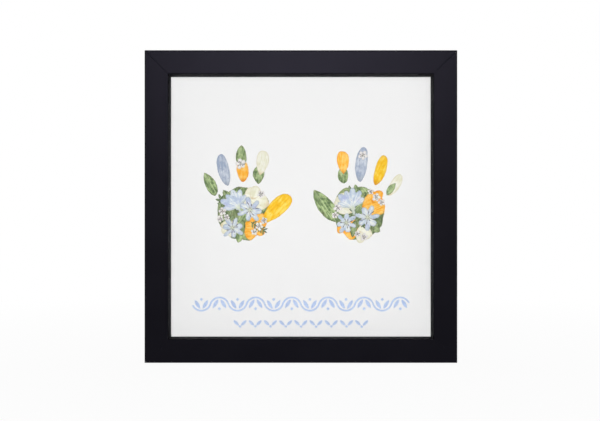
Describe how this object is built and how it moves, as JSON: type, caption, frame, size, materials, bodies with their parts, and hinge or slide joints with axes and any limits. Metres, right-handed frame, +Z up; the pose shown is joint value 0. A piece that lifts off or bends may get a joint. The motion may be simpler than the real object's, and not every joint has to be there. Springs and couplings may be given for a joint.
{
  "type": "baby handprint frame",
  "caption": "Square black box frame with glass over a white linen panel, with pressed-flower handprints and an embroidered vine; turn buttons and a sawtooth hanger at the back.",
  "frame": {"origin": "middle of the underside of the bottom rail, halfway through the rail's depth", "axes": "+Z up, +X to the right seen from the front, +Y from the front to the back"},
  "size_m": [0.23, 0.0306, 0.23],
  "materials": {
    "black_wood": "satin black paint",
    "spacer_board": "matt black",
    "glass": "clear polished",
    "linen": "plain weave, matt",
    "mount_board": "matt",
    "tape": "matt",
    "backing_board": "bare hardboard",
    "v_nail_steel": "bright",
    "button_steel": "zinc plated",
    "screw_steel": "yellow zinc plated",
    "hanger_steel": "brass plated",
    "bumper_rubber": "matt",
    "leaf_green": "pressed leaf, matt",
    "spray_green": "pressed leaf, matt",
    "petal_orange": "pressed petal, soft sheen",
    "petal_yellow": "pressed petal, soft sheen",
    "petal_cream": "pressed petal, soft sheen",
    "petal_blue": "pressed petal, soft sheen",
    "floret_blue": "pressed petal, soft sheen",
    "blossom_white": "pressed petal, soft sheen",
    "thread_blue": "embroidery thread, silky"
  },
  "bodies": {
    "frame": {"backing_board": "backing_board", "corner_v_nails": "v_nail_steel", "embroidered_sprigs": "thread_blue", "embroidered_vine": "thread_blue", "glass_pane": "glass", "hanger_nails": "hanger_steel", "left_index_cream_petal": "petal_cream", "left_index_leaf": "leaf_green", "left_little_leaf": "leaf_green", "left_middle_leaf": "leaf_green", "left_middle_orange_petal": "petal_orange", "left_middle_white_blossom": "blossom_white", "left_palm_blue_bells": "floret_blue", "left_palm_blue_florets": "floret_blue", "left_palm_cream_petals": "petal_cream", "left_palm_leaf": "leaf_green", "left_palm_orange_petals": "petal_orange", "left_palm_sprays": "spray_green", "left_palm_white_blossoms": "blossom_white", "left_ring_blue_petal": "petal_blue", "left_thumb_yellow_petal": "petal_yellow", "linen_panel": "linen", "mount_board": "mount_board", "rail_bottom": "black_wood", "rail_left": "black_wood", "rail_right": "black_wood", "rail_top": "black_wood", "right_index_leaf": "leaf_green", "right_index_orange_petal": "petal_orange", "right_little_cream_petal": "petal_cream", "right_little_leaf": "leaf_green", "right_middle_blue_petal": "petal_blue", "right_middle_white_blossom": "blossom_white", "right_palm_blue_bells": "floret_blue", "right_palm_blue_florets": "floret_blue", "right_palm_cream_petals": "petal_cream", "right_palm_leaf": "leaf_green", "right_palm_orange_petals": "petal_orange", "right_palm_sprays": "spray_green", "right_palm_white_blossoms": "blossom_white", "right_ring_yellow_petal": "petal_yellow", "right_thumb_leaf": "leaf_green", "sawtooth_hanger": "hanger_steel", "spacer_bottom": "spacer_board", "spacer_left": "spacer_board", "spacer_right": "spacer_board", "spacer_top": "spacer_board", "turn_button_screws": "screw_steel", "turn_in_tapes": "tape", "wall_bumpers": "bumper_rubber"},
    "turn_button_bottom_left": {"turn_button_bottom_left": "button_steel"},
    "turn_button_bottom_right": {"turn_button_bottom_right": "button_steel"},
    "turn_button_left_lower": {"turn_button_left_lower": "button_steel"},
    "turn_button_left_upper": {"turn_button_left_upper": "button_steel"},
    "turn_button_right_lower": {"turn_button_right_lower": "button_steel"},
    "turn_button_right_upper": {"turn_button_right_upper": "button_steel"},
    "turn_button_top_left": {"turn_button_top_left": "button_steel"},
    "turn_button_top_right": {"turn_button_top_right": "button_steel"}
  },
  "joints": [
    {"name": "turn_button_bottom_left_swing", "type": "hinge", "parent": "frame", "child": "turn_button_bottom_left", "pos_m": [-0.06, 0.0137, 0.00625], "axis": [0, 1, 0], "continuous": true},
    {"name": "turn_button_bottom_right_swing", "type": "hinge", "parent": "frame", "child": "turn_button_bottom_right", "pos_m": [0.06, 0.0137, 0.00625], "axis": [0, 1, 0], "continuous": true},
    {"name": "turn_button_left_lower_swing", "type": "hinge", "parent": "frame", "child": "turn_button_left_lower", "pos_m": [-0.10875, 0.0137, 0.055], "axis": [0, 1, 0], "continuous": true},
    {"name": "turn_button_left_upper_swing", "type": "hinge", "parent": "frame", "child": "turn_button_left_upper", "pos_m": [-0.10875, 0.0137, 0.175], "axis": [0, 1, 0], "continuous": true},
    {"name": "turn_button_right_lower_swing", "type": "hinge", "parent": "frame", "child": "turn_button_right_lower", "pos_m": [0.10875, 0.0137, 0.055], "axis": [0, 1, 0], "continuous": true},
    {"name": "turn_button_right_upper_swing", "type": "hinge", "parent": "frame", "child": "turn_button_right_upper", "pos_m": [0.10875, 0.0137, 0.175], "axis": [0, 1, 0], "continuous": true},
    {"name": "turn_button_top_left_swing", "type": "hinge", "parent": "frame", "child": "turn_button_top_left", "pos_m": [-0.06, 0.0137, 0.22375], "axis": [0, 1, 0], "continuous": true},
    {"name": "turn_button_top_right_swing", "type": "hinge", "parent": "frame", "child": "turn_button_top_right", "pos_m": [0.06, 0.0137, 0.22375], "axis": [0, 1, 0], "continuous": true}
  ]
}
